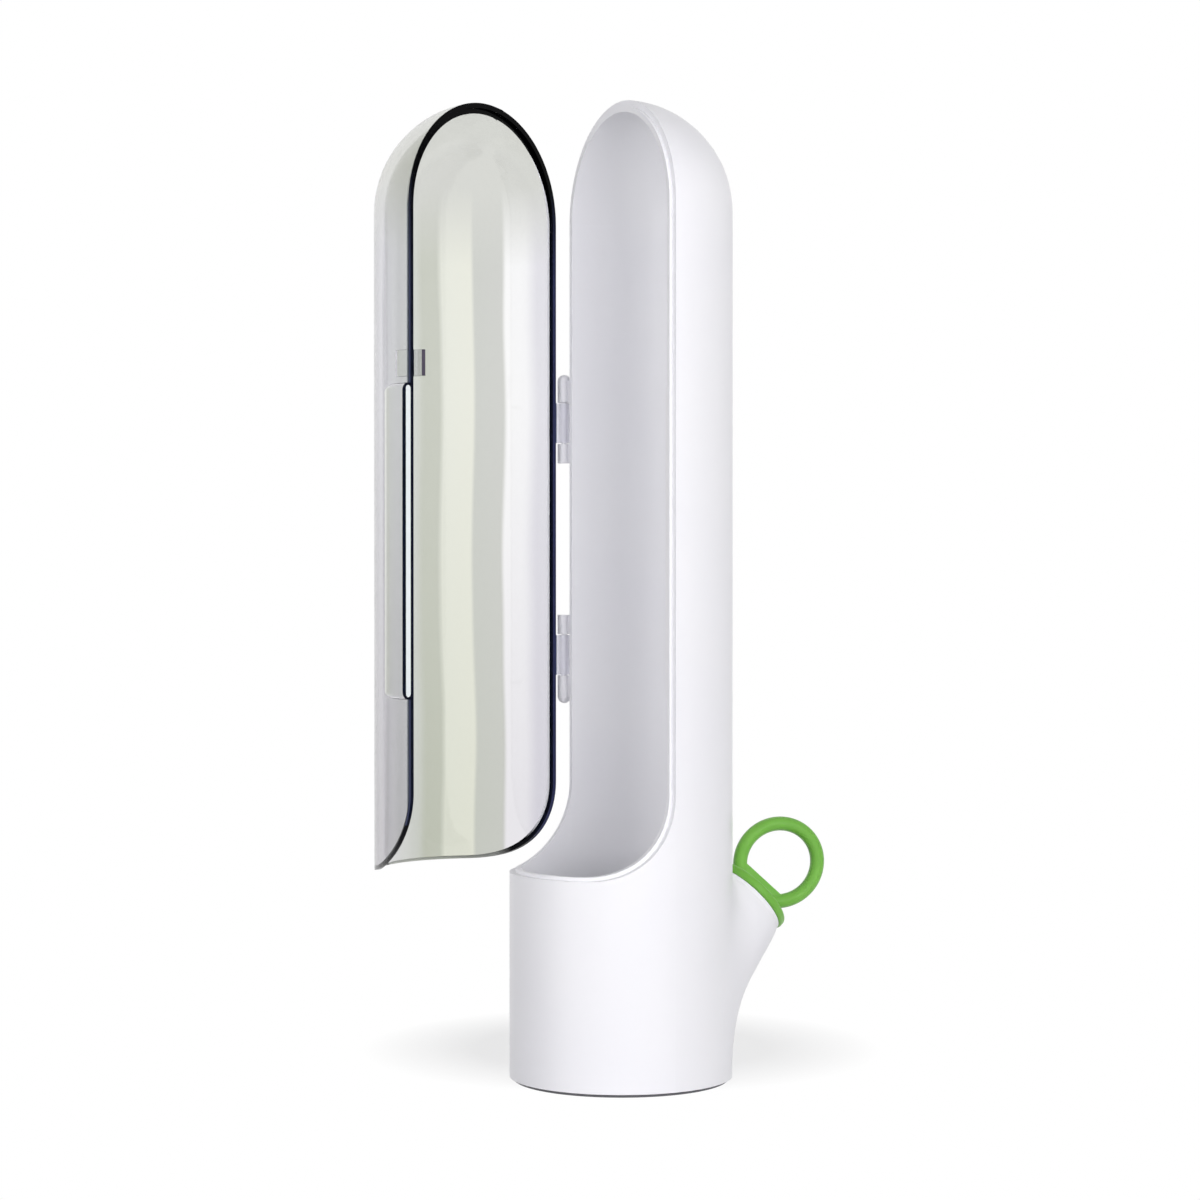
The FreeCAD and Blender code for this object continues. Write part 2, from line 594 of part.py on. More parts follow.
os.makedirs("parts", exist_ok=True)
for node in NODES:
    node.Shape.exportStep(f"parts/{node.Label}.step")
    limits = node.Shape.BoundBox
    print(f"{node.Label:18s} {node.Shape.Volume / 1000:8.2f} cm3  "
          f"x {limits.XMin:7.2f} {limits.XMax:7.2f}  y {limits.YMin:7.2f} {limits.YMax:7.2f}  "
          f"z {limits.ZMin:7.2f} {limits.ZMax:7.2f}")
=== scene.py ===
"""Herb keeper: finishes, floor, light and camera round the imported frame.

Lengths are in metres.  The keeper's open front faces -Y, its fill spout points to +Y and its hinge
is on the -X side.
"""

import json
import math

import bpy
from mathutils import Matrix, Vector


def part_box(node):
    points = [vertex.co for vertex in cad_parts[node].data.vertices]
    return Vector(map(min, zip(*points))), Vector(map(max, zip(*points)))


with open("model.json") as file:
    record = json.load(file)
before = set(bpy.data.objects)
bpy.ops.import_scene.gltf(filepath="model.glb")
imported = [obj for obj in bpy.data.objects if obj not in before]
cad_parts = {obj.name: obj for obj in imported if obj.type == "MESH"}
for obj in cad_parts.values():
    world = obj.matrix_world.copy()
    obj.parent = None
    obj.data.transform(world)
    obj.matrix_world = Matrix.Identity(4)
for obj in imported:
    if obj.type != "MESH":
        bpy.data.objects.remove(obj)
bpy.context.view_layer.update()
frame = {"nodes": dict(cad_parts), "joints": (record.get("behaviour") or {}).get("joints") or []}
nodes = frame["nodes"]

# ---------------------------------------------------------------- sizes

OUTER_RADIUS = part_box("keeper_body")[1].x             # outside of cup, back shell and door
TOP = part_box("keeper_body")[1].z                      # top of both domes
DOME_CENTRE = TOP - OUTER_RADIUS                      # height of the point they are drawn round
HINGE = next(joint for joint in frame["joints"] if joint["name"] == "door_hinge")
HINGE_PLACE = Vector(HINGE["pos_m"])
CLOSING_ANGLE = math.radians(HINGE["range_deg"][1])   # turns the open door shut
CLOSING_TURN = Matrix.Rotation(CLOSING_ANGLE, 3, "Z")
KNUCKLE_START = -OUTER_RADIUS - 0.0003                # X beyond which the shut door's knuckles lie
GRIP_CENTRE = 0.1564                                  # height of the middle of the door's grip
GRIP_LENGTH = 0.0900
FOOT_RADIUS = 0.0310                                  # outside of the base cap's foot ring

# ---------------------------------------------------------------- small helpers

WHITE = (1.0, 1.0, 1.0, 1.0)


def srgb(red, green, blue):
    """Linear colour of an sRGB colour given in 0 to 255."""
    def linear(value):
        value /= 255
        return value / 12.92 if value <= 0.04045 else ((value + 0.055) / 1.055) ** 2.4
    return (linear(red), linear(green), linear(blue), 1.0)


def new_object(name, data):
    """Object of this data, in the scene."""
    made = bpy.data.objects.new(name, data)
    bpy.context.scene.collection.objects.link(made)
    return made


class Tree:
    """Node tree of a material, world or lamp, with short calls to add nodes to it."""

    def __init__(self, owner):
        owner.use_nodes = True
        self.tree = owner.node_tree
        self.tree.nodes.clear()

    def add(self, kind, inputs=None, **settings):
        """New node; inputs maps socket names or numbers to values or to other nodes' sockets."""
        new = self.tree.nodes.new(kind)
        for name, value in settings.items():
            setattr(new, name, value)
        for socket, value in (inputs or {}).items():
            if isinstance(value, bpy.types.NodeSocket):
                self.tree.links.new(value, new.inputs[socket])
            else:
                new.inputs[socket].default_value = value
        return new

    def math(self, operation, first, second=0.0):
        """Result of a Math node."""
        return self.add("ShaderNodeMath", {0: first, 1: second}, operation=operation).outputs[0]

    def product(self, *factors):
        """Product of values: of conditions it is 1 where they all hold."""
        total = factors[0]
        for factor in factors[1:]:
            total = self.math("MULTIPLY", total, factor)
        return total

    def remap(self, value, low, high, to_low, to_high):
        """Result of a Map Range node, clamped."""
        ranges = {"From Min": low, "From Max": high, "To Min": to_low, "To Max": to_high}
        return self.add("ShaderNodeMapRange", {"Value": value, **ranges}).outputs["Result"]

    def vary(self, noise, low, high):
        """Value between two limits from a noise value, which mostly lies between 0.3 and 0.7."""
        return self.remap(noise, 0.3, 0.7, low, high)

    def patches(self, noise):
        """Share from 0 to 1 with soft-edged patches of each, from a noise value."""
        return self.remap(noise, 0.35, 0.65, 0.0, 1.0)

    def blend(self, share, first, second):
        """Mix of two colours."""
        mixed = self.add("ShaderNodeMix", {"Factor": share}, data_type="RGBA")
        for socket, value in (("A", first), ("B", second)):
            target = next(s for s in mixed.inputs if s.name == socket and s.type == "RGBA")
            if isinstance(value, bpy.types.NodeSocket):
                self.tree.links.new(value, target)
            else:
                target.default_value = value
        return next(s for s in mixed.outputs if s.type == "RGBA")

    def multiply(self, first, second):
        """Product of two colours or vectors, component by component."""
        mixed = self.add("ShaderNodeVectorMath", {0: first, 1: second}, operation="MULTIPLY")
        return mixed.outputs["Vector"]

    def vector(self, x, y, z=0.0):
        """Vector of three values."""
        return self.add("ShaderNodeCombineXYZ", {"X": x, "Y": y, "Z": z}).outputs["Vector"]

    def components(self, vector):
        """The three values of a vector."""
        return tuple(self.add("ShaderNodeSeparateXYZ", {"Vector": vector}).outputs)

    def length(self, vector):
        """Length of a vector."""
        measured = self.add("ShaderNodeVectorMath", {0: vector}, operation="LENGTH")
        return measured.outputs["Value"]

    def noise(self, place, scale, detail=3.0):
        """Value of a noise texture with its features 1 / scale metres apart."""
        return self.add("ShaderNodeTexNoise", {"Vector": place, "Scale": scale,
                                               "Detail": detail}).outputs["Fac"]

    def object_place(self):
        """Position in the object's own frame, which is the row frame at rest."""
        return self.add("ShaderNodeTexCoord").outputs["Object"]

    def bump(self, height, distance):
        """Normal from a height that runs from 0 to 1 over a distance."""
        return self.add("ShaderNodeBump", {"Height": height,
                                           "Distance": distance}).outputs["Normal"]

    def finish(self, shader, kind="ShaderNodeOutputMaterial"):
        """Connects a shader to the tree's output."""
        self.add(kind, {"Surface": shader})


def new_material(name):
    """Empty material and its tree."""
    material = bpy.data.materials.new(name)
    return material, Tree(material)


def colour_ramp(tree, value, tones):
    """Colour of a ramp whose stops are pairs of a position and an sRGB colour."""
    ramp = tree.add("ShaderNodeValToRGB", {"Fac": value})
    stops = ramp.color_ramp.elements
    while len(stops) < len(tones):
        stops.new(0.5)
    for stop, (position, colour) in zip(stops, tones):
        stop.position = position
        stop.color = srgb(*colour)
    return ramp.outputs["Color"]


# ---------------------------------------------------------------- moulded plastic

PLASTIC_IOR = 1.49
GLOSS_SPREAD = (-0.02, 0.04)      # how far the roughness strays below and above its middle value
RIM_SHADE_BLUR = 0.0004                 # width over which the painted shade of a rim comes in


def moulded_plastic(name, colour, shade, roughness, rim=None):
    """Opaque moulded plastic: faint clouding, uneven gloss and a fine orange peel.

    rim is a radius and a colour: plastic that far from the cup's axis takes that colour, as painted
    shade.
    """
    material, tree = new_material(name)
    place = tree.object_place()
    clouds = tree.noise(place, 24.0, detail=2.0)
    peel = tree.noise(place, 520.0, detail=1.0)
    lowest, highest = (roughness + spread for spread in GLOSS_SPREAD)
    tone = tree.blend(tree.patches(clouds), colour, shade)
    if rim:
        radius, rim_shade_colour = rim
        from_axis = tree.length(tree.multiply(place, (1.0, 1.0, 0.0)))
        in_rim_shade = tree.remap(from_axis, radius - RIM_SHADE_BLUR, radius, 0.0, 1.0)
        tone = tree.blend(in_rim_shade, tone, rim_shade_colour)
    shader = tree.add("ShaderNodeBsdfPrincipled", {
        "Base Color": tone,
        "Roughness": tree.vary(tree.noise(place, 130.0), lowest, highest),
        "IOR": PLASTIC_IOR,
        "Specular IOR Level": 0.18,
        "Normal": tree.bump(peel, 0.000006),
    })
    tree.finish(shader.outputs["BSDF"])
    return material


# ---------------------------------------------------------------- clear plastic of the door

# Tint of the clear door round its wall, with painted reflections and painted shade laid into it as
# bands: share of the half turn from the free edge to the hinge, and the sRGB colour that one pass
# through the wall leaves of white.
DOOR_TINTS_AND_PAINTED_LIGHT = (
    (0.00, (228, 228, 232)),
    (0.07, (226, 226, 230)),
    (0.095, (237, 237, 240)),
    (0.12, (222, 222, 227)),
    (0.135, (218, 217, 222)),
    (0.155, (228, 228, 232)),
    (0.175, (215, 214, 219)),
    (0.20, (210, 209, 214)),
    (0.24, (196, 195, 201)),
    (0.27, (186, 185, 190)),
    (0.285, (174, 173, 177)),
    (0.30, (206, 206, 210)),
    (0.33, (220, 220, 223)),
    (0.53, (214, 217, 210)),
    (0.555, (202, 205, 194)),
    (0.620, (206, 209, 198)),
    (0.628, (232, 234, 224)),
    (0.727, (234, 235, 224)),
    (0.737, (206, 208, 203)),
    (0.825, (208, 209, 205)),
    (0.835, (250, 250, 250)),
    (0.90, (248, 248, 249)),
    (0.94, (230, 229, 235)),
    (1.00, (226, 225, 231)),
)
BAND_WAVER = 0.01                 # how far the bands stray to each side, as such a share
DOME_TINT = (214, 215, 210)
DOME_BLEND = 0.012                # from this far below the dome's centre to as far above it

# Painted shade near the cup: how much darker than that one pass the door is painted there, along
# the same share.
LOW_PAINTED_SHADE = (
    (0.00, (244, 243, 244)),
    (0.24, (220, 218, 218)),
    (0.30, (244, 243, 244)),
    (0.53, (243, 243, 242)),
    (0.56, (241, 242, 237)),
    (0.82, (242, 243, 239)),
    (0.835, (236, 234, 238)),
    (1.00, (240, 239, 242)),
)
LOW_SHADE_HEIGHTS = (0.200, 0.075)         # none of it at the first height, all of it at the second

SEAM_SHADE = (44, 56, 76)                 # painted shade on the wall's outside beside the seam
SEAM_SHADE_DEPTHS = (-0.00125, -0.00085)  # Y of the shut door where it starts and where it is full
SEAM_SHADE_FADE = 0.010                   # it ends this far above the dome's centre
OUTSIDE_TOLERANCE = 0.0004                # the wall's outside is found this near to OUTER_RADIUS
KNUCKLE_TINT = (246, 246, 252)
KNUCKLE_CLARITY = 0.45                    # share of the light that frosted knuckles let through
CLEAR_ROUGHNESS = (0.02, 0.07)            # of clean plastic and of scuffed plastic


def door_frame_place(tree):
    """Position in the frame of the shut door, where its seam lies in the plane Y = 0."""
    moved = HINGE_PLACE - CLOSING_TURN @ HINGE_PLACE
    return tree.add("ShaderNodeMapping", {"Vector": tree.object_place(), "Location": moved,
                                          "Rotation": (0.0, 0.0, CLOSING_ANGLE)}).outputs["Vector"]


def wall_radius(tree, across, depth, height):
    """Distance from the line that the wall is drawn round, and in the dome from its centre."""
    rise = tree.math("MAXIMUM", tree.math("SUBTRACT", height, DOME_CENTRE), 0.0)
    return tree.length(tree.vector(across, depth, rise))


def turn_share(tree, across, depth):
    """Share of the half turn round the wall's axis, from the free edge to the hinge."""
    turn = tree.math("ARCTAN2", tree.math("MULTIPLY", depth, -1.0), across)
    return tree.math("DIVIDE", turn, math.pi)


def clear_plastic():
    """Clear door plastic: a tint with bands of painted reflection and painted shade, and fine
    scuffs.
    """
    material, tree = new_material("clear_plastic")
    place = door_frame_place(tree)
    across, depth, height = tree.components(place)
    wave = tree.vary(tree.noise(place, 14.0, detail=1.0), -BAND_WAVER, BAND_WAVER)
    share = tree.math("ADD", turn_share(tree, across, depth), wave)
    low = tree.remap(height, *LOW_SHADE_HEIGHTS, 0.0, 1.0)
    low_shade = tree.blend(low, WHITE, colour_ramp(tree, share, LOW_PAINTED_SHADE))
    painted_bands = tree.multiply(colour_ramp(tree, share, DOOR_TINTS_AND_PAINTED_LIGHT), low_shade)
    domed = tree.remap(height, DOME_CENTRE - DOME_BLEND, DOME_CENTRE + DOME_BLEND, 0.0, 1.0)
    tint_and_painted_light = tree.blend(domed, painted_bands, srgb(*DOME_TINT))
    radius = wall_radius(tree, across, depth, height)
    off_outside = tree.math("ABSOLUTE", tree.math("SUBTRACT", radius, OUTER_RADIUS))
    beside_seam = tree.product(
        tree.math("LESS_THAN", off_outside, OUTSIDE_TOLERANCE),
        tree.remap(depth, *SEAM_SHADE_DEPTHS, 0.0, 1.0),
        tree.remap(height, DOME_CENTRE, DOME_CENTRE + SEAM_SHADE_FADE, 1.0, 0.0))
    tint_and_painted_light = tree.blend(beside_seam, tint_and_painted_light, srgb(*SEAM_SHADE))
    in_knuckle = tree.math("LESS_THAN", across, KNUCKLE_START)
    tint_and_painted_light = tree.blend(in_knuckle, tint_and_painted_light, srgb(*KNUCKLE_TINT))
    scuffs = tree.noise(place, 260.0, detail=6.0)
    flow = tree.noise(place, 90.0, detail=1.0)
    glass = tree.add("ShaderNodeBsdfPrincipled", {
        "Base Color": tint_and_painted_light,
        "Roughness": tree.remap(scuffs, 0.45, 0.75, *CLEAR_ROUGHNESS),
        "IOR": PLASTIC_IOR,
        "Transmission Weight": tree.remap(in_knuckle, 0.0, 1.0, 1.0, KNUCKLE_CLARITY),
        "Normal": tree.bump(flow, 0.00002),
    })
    shadow = tree.add("ShaderNodeBsdfTransparent", {"Color": tint_and_painted_light})
    ray = tree.add("ShaderNodeLightPath")
    mixed = tree.add("ShaderNodeMixShader", {0: ray.outputs["Is Shadow Ray"],
                                             1: glass.outputs["BSDF"],
                                             2: shadow.outputs["BSDF"]})
    tree.finish(mixed.outputs["Shader"])
    return material


# ---------------------------------------------------------------- painted shade on the door's seam edge

# The seam edge of the clear door is painted near black: painted shade, as clear plastic looks dark
# edge-on.
EDGE_BLACK = (1, 1, 2)
EDGE_BLUE = (16, 22, 44)                  # painted blue cast mottled into the painted black below the dome
BLUE_FADE = (-0.020, 0.010)               # all blue ends between these heights, counted from the
                                          # dome's centre

# The seam face of the grip is painted bright, a painted light, inside a painted dark outline: a
# long stadium, in the shut door's frame.
PANE = (236, 242, 243)
PANE_RADIUS = OUTER_RADIUS + 0.00025      # distance of its middle line from the wall's axis
PANE_HALF_WIDTH = 0.00098
PANE_MARGIN = 0.0007                      # dark outline beyond each end of it

# Across the seam edge the outer part, the land, stands proud of a recess.  The recess is painted
# pale along the hinge side, a painted light.  In the dome the painted dark of the land widens over
# it.
LAND_WIDTH = 0.00145
HINGE_LAND = (50, 54, 90)                 # painted shade of the land along the hinge side
FREE_BAND = (60, 66, 90)                  # painted shade of the land's outermost part on the free side,
FREE_BAND_WIDTH = 0.0007                  # above and below the grip
RECESS = (244, 245, 249)
DARK_WIDTHS = (LAND_WIDTH + 0.0004, 0.0032)   # at the dome's centre and near its top
DARK_WIDENING = 0.75 * OUTER_RADIUS           # rise over which it goes from one to the other

# Along the lip that meets the cup's rim: share of the half turn from the free edge to the hinge,
# and the painted light and shade of the clear edge there.
LIP_TONES = (
    (0.00, (4, 5, 10)),
    (0.325, (4, 5, 10)),
    (0.345, (206, 208, 202)),
    (0.375, (196, 198, 192)),
    (0.385, (70, 72, 74)),
    (0.40, (190, 192, 186)),
    (0.62, (176, 180, 170)),
    (0.80, (150, 152, 148)),
    (0.85, (4, 5, 10)),
    (1.00, (4, 5, 10)),
)
LIP_HEIGHT = 0.0755                       # the lip's tones end here, where the seam turns upright,
HINGE_CORNER = (0.90, 0.95)               # and between these shares on the hinge side

# Painted shade on the end face of the latch tab.
TAB_END = (84, 78, 92)
TAB_END_START = 0.0005                    # the end of the latch tab is behind this Y


def door_edge():
    """Seam edge of the clear door: painted shade, near black with a blue cast, and painted light in
    the grip's middle.
    """
    material, tree = new_material("door_edge")
    place = door_frame_place(tree)
    across, depth, height = tree.components(place)
    radius = wall_radius(tree, across, depth, height)
    share = turn_share(tree, across, depth)
    mottle = tree.noise(place, 220.0)
    hinge_side = tree.math("LESS_THAN", across, 0.0)
    free_side = tree.math("GREATER_THAN", across, 0.0)
    fade_start, fade_end = BLUE_FADE
    below_dome = tree.remap(height, DOME_CENTRE + fade_start, DOME_CENTRE + fade_end, 1.0, 0.0)

    from_middle = tree.math("ABSOLUTE", tree.math("SUBTRACT", height, GRIP_CENTRE))
    half_line = 0.5 * GRIP_LENGTH - PANE_MARGIN - PANE_HALF_WIDTH
    beyond = tree.math("SUBTRACT", from_middle, half_line)
    from_line = tree.length(tree.vector(tree.math("SUBTRACT", across, PANE_RADIUS),
                                        tree.math("MAXIMUM", beyond, 0.0)))
    in_pane = tree.math("LESS_THAN", from_line, PANE_HALF_WIDTH)
    past_grip = tree.math("GREATER_THAN", beyond, PANE_HALF_WIDTH + PANE_MARGIN)

    edge = tree.blend(tree.product(below_dome, mottle), srgb(*EDGE_BLACK), srgb(*EDGE_BLUE))
    on_land = tree.math("GREATER_THAN", radius, OUTER_RADIUS - LAND_WIDTH)
    edge = tree.blend(tree.product(hinge_side, on_land, below_dome), edge, srgb(*HINGE_LAND))
    outermost = tree.math("GREATER_THAN", radius, OUTER_RADIUS - FREE_BAND_WIDTH)
    edge = tree.blend(tree.product(free_side, outermost, past_grip, below_dome),
                      edge, srgb(*FREE_BAND))
    dark_width = tree.remap(height, DOME_CENTRE, DOME_CENTRE + DARK_WIDENING, *DARK_WIDTHS)
    in_recess = tree.math("LESS_THAN", radius, tree.math("SUBTRACT", OUTER_RADIUS, dark_width))
    pale = tree.math("MAXIMUM", tree.product(hinge_side, in_recess),
                     tree.math("LESS_THAN", across, KNUCKLE_START))
    edge = tree.blend(pale, edge, srgb(*RECESS))

    on_lip = tree.product(tree.math("LESS_THAN", height, LIP_HEIGHT),
                          tree.remap(share, *HINGE_CORNER, 1.0, 0.0))
    edge = tree.blend(on_lip, edge, colour_ramp(tree, share, LIP_TONES))
    on_tab_end = tree.math("GREATER_THAN", depth, TAB_END_START)
    edge = tree.blend(on_tab_end, edge, srgb(*TAB_END))
    shader = tree.add("ShaderNodeBsdfPrincipled", {
        "Base Color": tree.blend(in_pane, edge, srgb(*PANE)),
        "Roughness": tree.vary(mottle, 0.12, 0.22),
        "IOR": PLASTIC_IOR,
        "Specular IOR Level": 0.05,
    })
    tree.finish(shader.outputs["BSDF"])
    return material


# ---------------------------------------------------------------- plug, gasket and pins


def soft_green():
    """Soft green plug: matt skin with a fine grain and a little light under the surface."""
    material, tree = new_material("soft_green")
    place = tree.object_place()
    clouds = tree.noise(place, 60.0, detail=4.0)
    grain = tree.noise(place, 1900.0, detail=2.0)
    shader = tree.add("ShaderNodeBsdfPrincipled", {
        "Base Color": tree.blend(tree.patches(clouds), srgb(117, 182, 69), srgb(107, 172, 59)),
        "Roughness": tree.vary(grain, 0.30, 0.40),
        "IOR": 1.47,
        "Subsurface Weight": 0.08,
        "Subsurface Radius": (0.4, 1.0, 0.2),
        "Subsurface Scale": 0.0015,
        "Normal": tree.bump(grain, 0.000012),
    })
    tree.finish(shader.outputs["BSDF"])
    return material


def grey_rubber():
    """Matt grey rubber of the base gasket."""
    material, tree = new_material("grey_rubber")
    grain = tree.noise(tree.object_place(), 1500.0)
    shader = tree.add("ShaderNodeBsdfPrincipled", {
        "Base Color": tree.blend(grain, srgb(88, 90, 92), srgb(104, 106, 108)),
        "Roughness": tree.vary(grain, 0.55, 0.75),
        "Normal": tree.bump(grain, 0.00002),
    })
    tree.finish(shader.outputs["BSDF"])
    return material


def drawn_steel():
    """Steel wire of the hinge pins, drawn along its length."""
    material, tree = new_material("drawn_steel")
    stretched = tree.add("ShaderNodeMapping", {"Vector": tree.object_place(),
                                               "Scale": (1.0, 1.0, 0.03)}).outputs["Vector"]
    lines = tree.noise(stretched, 4000.0, detail=2.0)
    shader = tree.add("ShaderNodeBsdfPrincipled", {
        "Base Color": tree.blend(lines, srgb(222, 222, 226), srgb(234, 234, 238)),
        "Metallic": 1.0,
        "Roughness": tree.vary(lines, 0.22, 0.34),
        "Normal": tree.bump(lines, 0.000004),
    })
    tree.finish(shader.outputs["BSDF"])
    return material


# ---------------------------------------------------------------- which faces take which material

SEAM_REACH = OUTER_RADIUS + 0.0030       # the seam's faces are no farther out than this
STEP_RADIUS = OUTER_RADIUS - 0.0015      # radius of the step between its land and its recess
STEP_TOLERANCE = 0.0003
TAB_END_FACE = 0.0008                    # the middle of the latch tab's end face is behind this Y
LEANING = 0.5                            # cosine from which a face counts as turned some way,
SQUARE = 0.9                             # and from which it counts as square to it


def shut(point):
    """Where a point of the open door lies once the door is shut."""
    return CLOSING_TURN @ (point - HINGE_PLACE) + HINGE_PLACE


def wall_direction(point):
    """Distance of a point from the line that the wall is drawn round, and the way out from it."""
    spine = Vector((0.0, 0.0, min(point.z, DOME_CENTRE)))
    offset = point - spine
    return offset.length, offset.normalized()


def on_seam_edge(centre, normal):
    """Whether a face of the shut door belongs to the edge that meets the keeper's body."""
    distance, outward = wall_direction(centre)
    if distance > SEAM_REACH or normal.y < -LEANING:
        return False
    across_wall = abs(normal.dot(outward)) < LEANING
    on_step = abs(distance - STEP_RADIUS) < STEP_TOLERANCE and normal.dot(outward) < -LEANING
    return across_wall or on_step


def dress(name, *materials):
    """Gives a node these materials, the first one all over, and returns its mesh."""
    data = nodes[name].data
    data.materials.clear()
    for material in materials:
        data.materials.append(material)
    return data


def dress_door():
    """Clear plastic on the door, with the dark edge on its seam."""
    for face in dress("clear_door", clear_plastic(), door_edge()).polygons:
        centre = shut(face.center)
        normal = CLOSING_TURN @ face.normal
        tab_end = centre.x > 0.0 and centre.y > TAB_END_FACE and normal.y > SQUARE
        seam = centre.x > -OUTER_RADIUS and centre.y < 0.0 and on_seam_edge(centre, normal)
        face.material_index = 1 if seam or tab_end else 0


dress("keeper_body",
      moulded_plastic("white_plastic", srgb(244, 244, 247), srgb(242, 242, 246), 0.30))
# The base cap beyond its foot ring is painted dark grey: a painted shadow of the gap under the
# body.
dress("base_cap",
      moulded_plastic("white_base", srgb(236, 236, 240), srgb(233, 233, 238), 0.38,
                      rim=(FOOT_RADIUS, srgb(104, 104, 108))))
dress_door()
dress("fill_plug", soft_green())
dress("base_gasket", grey_rubber())
steel = drawn_steel()
dress("hinge_pin_upper", steel)
dress("hinge_pin_lower", steel)

# ---------------------------------------------------------------- floor and surroundings

FLOOR_RADIUS = 3.0
FLOOR_SIDES = 96
FLOOR_PAINT = (srgb(208, 208, 209), srgb(203, 203, 205))
BACKGROUND = 1.0        # strength of the white that the camera, gloss and clear plastic see
GLOW_NEAR = 0.72        # share of that white in the floor where the keeper's shadow falls
FADE_CENTRE = (-0.048, 0.026, 0.0)
FADE_START = 0.045      # distances from the fade's centre between which the floor goes white
FADE_END = 0.080

# The light from all round is strong from one level direction and from its opposite, and weak from
# the sides and from above.
FILL_AXIS = (0.883, -0.469, 0.0)
FILL_ENDS = 0.66        # strength along that axis
FILL_SIDES = 0.06       # and across it
FILL_TINT = srgb(247, 247, 255)


def background_rays(tree):
    """Whether a ray is one that shows the white background: from the camera, gloss or glass."""
    ray = tree.add("ShaderNodeLightPath")
    gloss = tree.math("MAXIMUM", ray.outputs["Is Glossy Ray"], ray.outputs["Is Transmission Ray"])
    return tree.math("MAXIMUM", ray.outputs["Is Camera Ray"], gloss)


def make_floor():
    """Pale floor that keeps a faint shadow and runs out into the white."""
    ring = [Vector((math.cos(a), math.sin(a), 0.0)) * FLOOR_RADIUS
            for a in (2 * math.pi * i / FLOOR_SIDES for i in range(FLOOR_SIDES))]
    data = bpy.data.meshes.new("floor")
    data.from_pydata([tuple(p) for p in ring], [], [tuple(range(FLOOR_SIDES))])
    floor = new_object("floor", data)
    material, tree = new_material("floor")
    place = tree.object_place()
    paint = tree.add("ShaderNodeBsdfDiffuse", {
        "Color": tree.blend(tree.noise(place, 30.0), *FLOOR_PAINT)})
    glow = tree.add("ShaderNodeEmission", {"Color": WHITE, "Strength": BACKGROUND})
    away = tree.add("ShaderNodeVectorMath", {0: place, 1: FADE_CENTRE},
                    operation="DISTANCE").outputs["Value"]
    share = tree.remap(away, FADE_START, FADE_END, GLOW_NEAR, 1.0)
    shown = tree.product(background_rays(tree), share)
    mixed = tree.add("ShaderNodeMixShader", {0: shown, 1: paint.outputs["BSDF"],
                                             2: glow.outputs["Emission"]})
    tree.finish(mixed.outputs["Shader"])
    data.materials.append(material)


def make_world():
    """White to the camera and to gloss and glass, and a soft cool grey as light."""
    world = bpy.data.worlds.new("studio")
    bpy.context.scene.world = world
    tree = Tree(world)
    direction = tree.add("ShaderNodeTexCoord").outputs["Generated"]
    along = tree.add("ShaderNodeVectorMath", {0: direction, 1: FILL_AXIS},
                     operation="DOT_PRODUCT").outputs["Value"]
    fill = tree.remap(tree.product(along, along), 0.0, 1.0, FILL_SIDES, FILL_ENDS)
    seen = background_rays(tree)
    strength = tree.math("ADD", tree.product(seen, BACKGROUND),
                         tree.product(tree.math("SUBTRACT", 1.0, seen), fill))
    shown = tree.add("ShaderNodeBackground", {"Color": tree.blend(seen, FILL_TINT, WHITE),
                                              "Strength": strength})
    tree.finish(shown.outputs["Background"], "ShaderNodeOutputWorld")


make_floor()
make_world()

# ---------------------------------------------------------------- camera

CAMERA_AZIMUTH = math.radians(62.07)    # 0 looks along +Y
CAMERA_PITCH = math.radians(0.547)      # below the horizon
CAMERA_DISTANCE = 0.8285                # from the cup's axis
CAMERA_SIDEWAYS = -0.0061               # shift along the picture's width
CAMERA_HEIGHT = 0.1474
CAMERA_LENS = 85.34                     # millimetres, like the sensor's width
SENSOR_WIDTH = 36.0

UPWARD = Vector((0.0, 0.0, 1.0))


def aimed(place, back):
    """Matrix that stands an object at a place with its local Z along a direction."""
    right = UPWARD.cross(back).normalized()
    turn = Matrix((right, back.cross(right), back)).transposed()
    return Matrix.Translation(place) @ turn.to_4x4()


def make_camera():
    """Camera at the picture's angle."""
    data = bpy.data.cameras.new("camera")
    data.sensor_fit = "HORIZONTAL"
    data.sensor_width = SENSOR_WIDTH
    data.lens = CAMERA_LENS
    data.clip_start, data.clip_end = 0.05, 20.0
    camera = new_object("camera", data)
    level_back = Vector((math.sin(CAMERA_AZIMUTH), -math.cos(CAMERA_AZIMUTH), 0.0))
    level_right = Vector((math.cos(CAMERA_AZIMUTH), math.sin(CAMERA_AZIMUTH), 0.0))
    back = level_back * math.cos(CAMERA_PITCH) + UPWARD * math.sin(CAMERA_PITCH)
    place = (level_back * CAMERA_DISTANCE + level_right * CAMERA_SIDEWAYS
             + UPWARD * CAMERA_HEIGHT)
    camera.matrix_world = aimed(place, back)
    bpy.context.scene.camera = camera


make_camera()

# ---------------------------------------------------------------- lamps

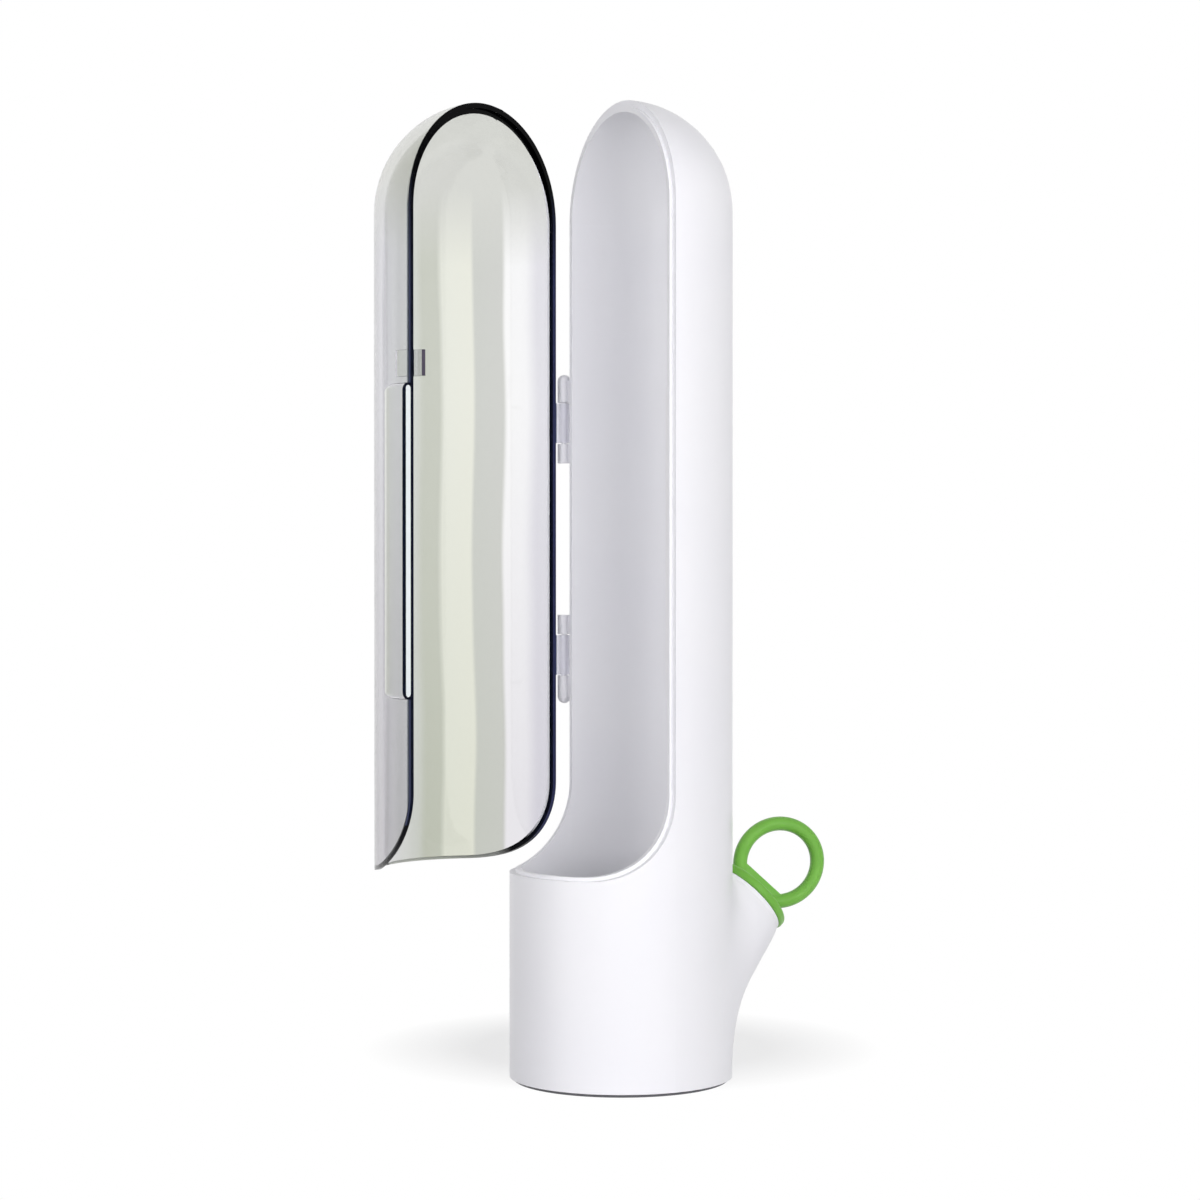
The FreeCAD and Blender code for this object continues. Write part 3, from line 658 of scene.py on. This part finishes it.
LAMP_TARGET = Vector((0.0, -0.01, 0.14))
LAMP_COLOUR = (1.0, 0.99, 0.98)
SOFT_SIDES = 0.12       # share of a lamp's width over which it fades towards each side,
SOFT_ENDS = 0.22        # and of its height towards its top and its bottom

# Name, degrees to the right of the camera, degrees above the level, distance from the target,
# width, height, power in watts, and whether gloss shows the lamp.  The sheen stands where the key
# does: the key lights, and the much weaker sheen makes the highlights.
LAMPS = (
    ("key", 32.0, 4.0, 1.10, 0.85, 1.20, 17.0, False),
    ("sheen", 32.0, 4.0, 1.10, 0.85, 1.20, 2.6, True),
    ("left", -50.0, 3.0, 1.10, 0.60, 0.90, 8.5, True),
    ("above", 180.0, 58.0, 1.30, 0.80, 0.80, 2.5, False),
    ("behind", 180.0, 4.0, 1.10, 0.85, 1.20, 8.0, False),
)


def soften(data):
    """Lets a lamp fade to nothing towards its four sides, like light through a cloth front."""
    tree = Tree(data)
    place = tree.add("ShaderNodeNewGeometry").outputs["Parametric"]
    shares = []
    for along, margin in zip(tree.components(place), (SOFT_SIDES, SOFT_ENDS)):
        from_middle = tree.math("ABSOLUTE", tree.math("SUBTRACT", along, 0.5))
        shares.append(tree.remap(from_middle, 0.5, 0.5 - margin, 0.0, 1.0))
    glow = tree.add("ShaderNodeEmission", {"Strength": tree.product(*shares)})
    tree.finish(glow.outputs["Emission"], "ShaderNodeOutputLight")


def make_lamp(name, angle, elevation, distance, width, height, power, in_gloss):
    """Soft box that faces the keeper."""
    data = bpy.data.lights.new(name, "AREA")
    data.shape = "RECTANGLE"
    data.size = width
    data.size_y = height
    data.energy = power
    data.color = LAMP_COLOUR
    soften(data)
    lamp = new_object(name, data)
    lamp.visible_camera = False
    lamp.visible_transmission = False
    lamp.visible_glossy = in_gloss
    turn = CAMERA_AZIMUTH + math.radians(angle)
    rise = math.radians(elevation)
    away = Vector((math.sin(turn) * math.cos(rise), -math.cos(turn) * math.cos(rise),
                   math.sin(rise)))
    lamp.matrix_world = aimed(LAMP_TARGET + away * distance, away)


for lamp in LAMPS:
    make_lamp(*lamp)

bpy.context.scene.view_settings.view_transform = "Standard"
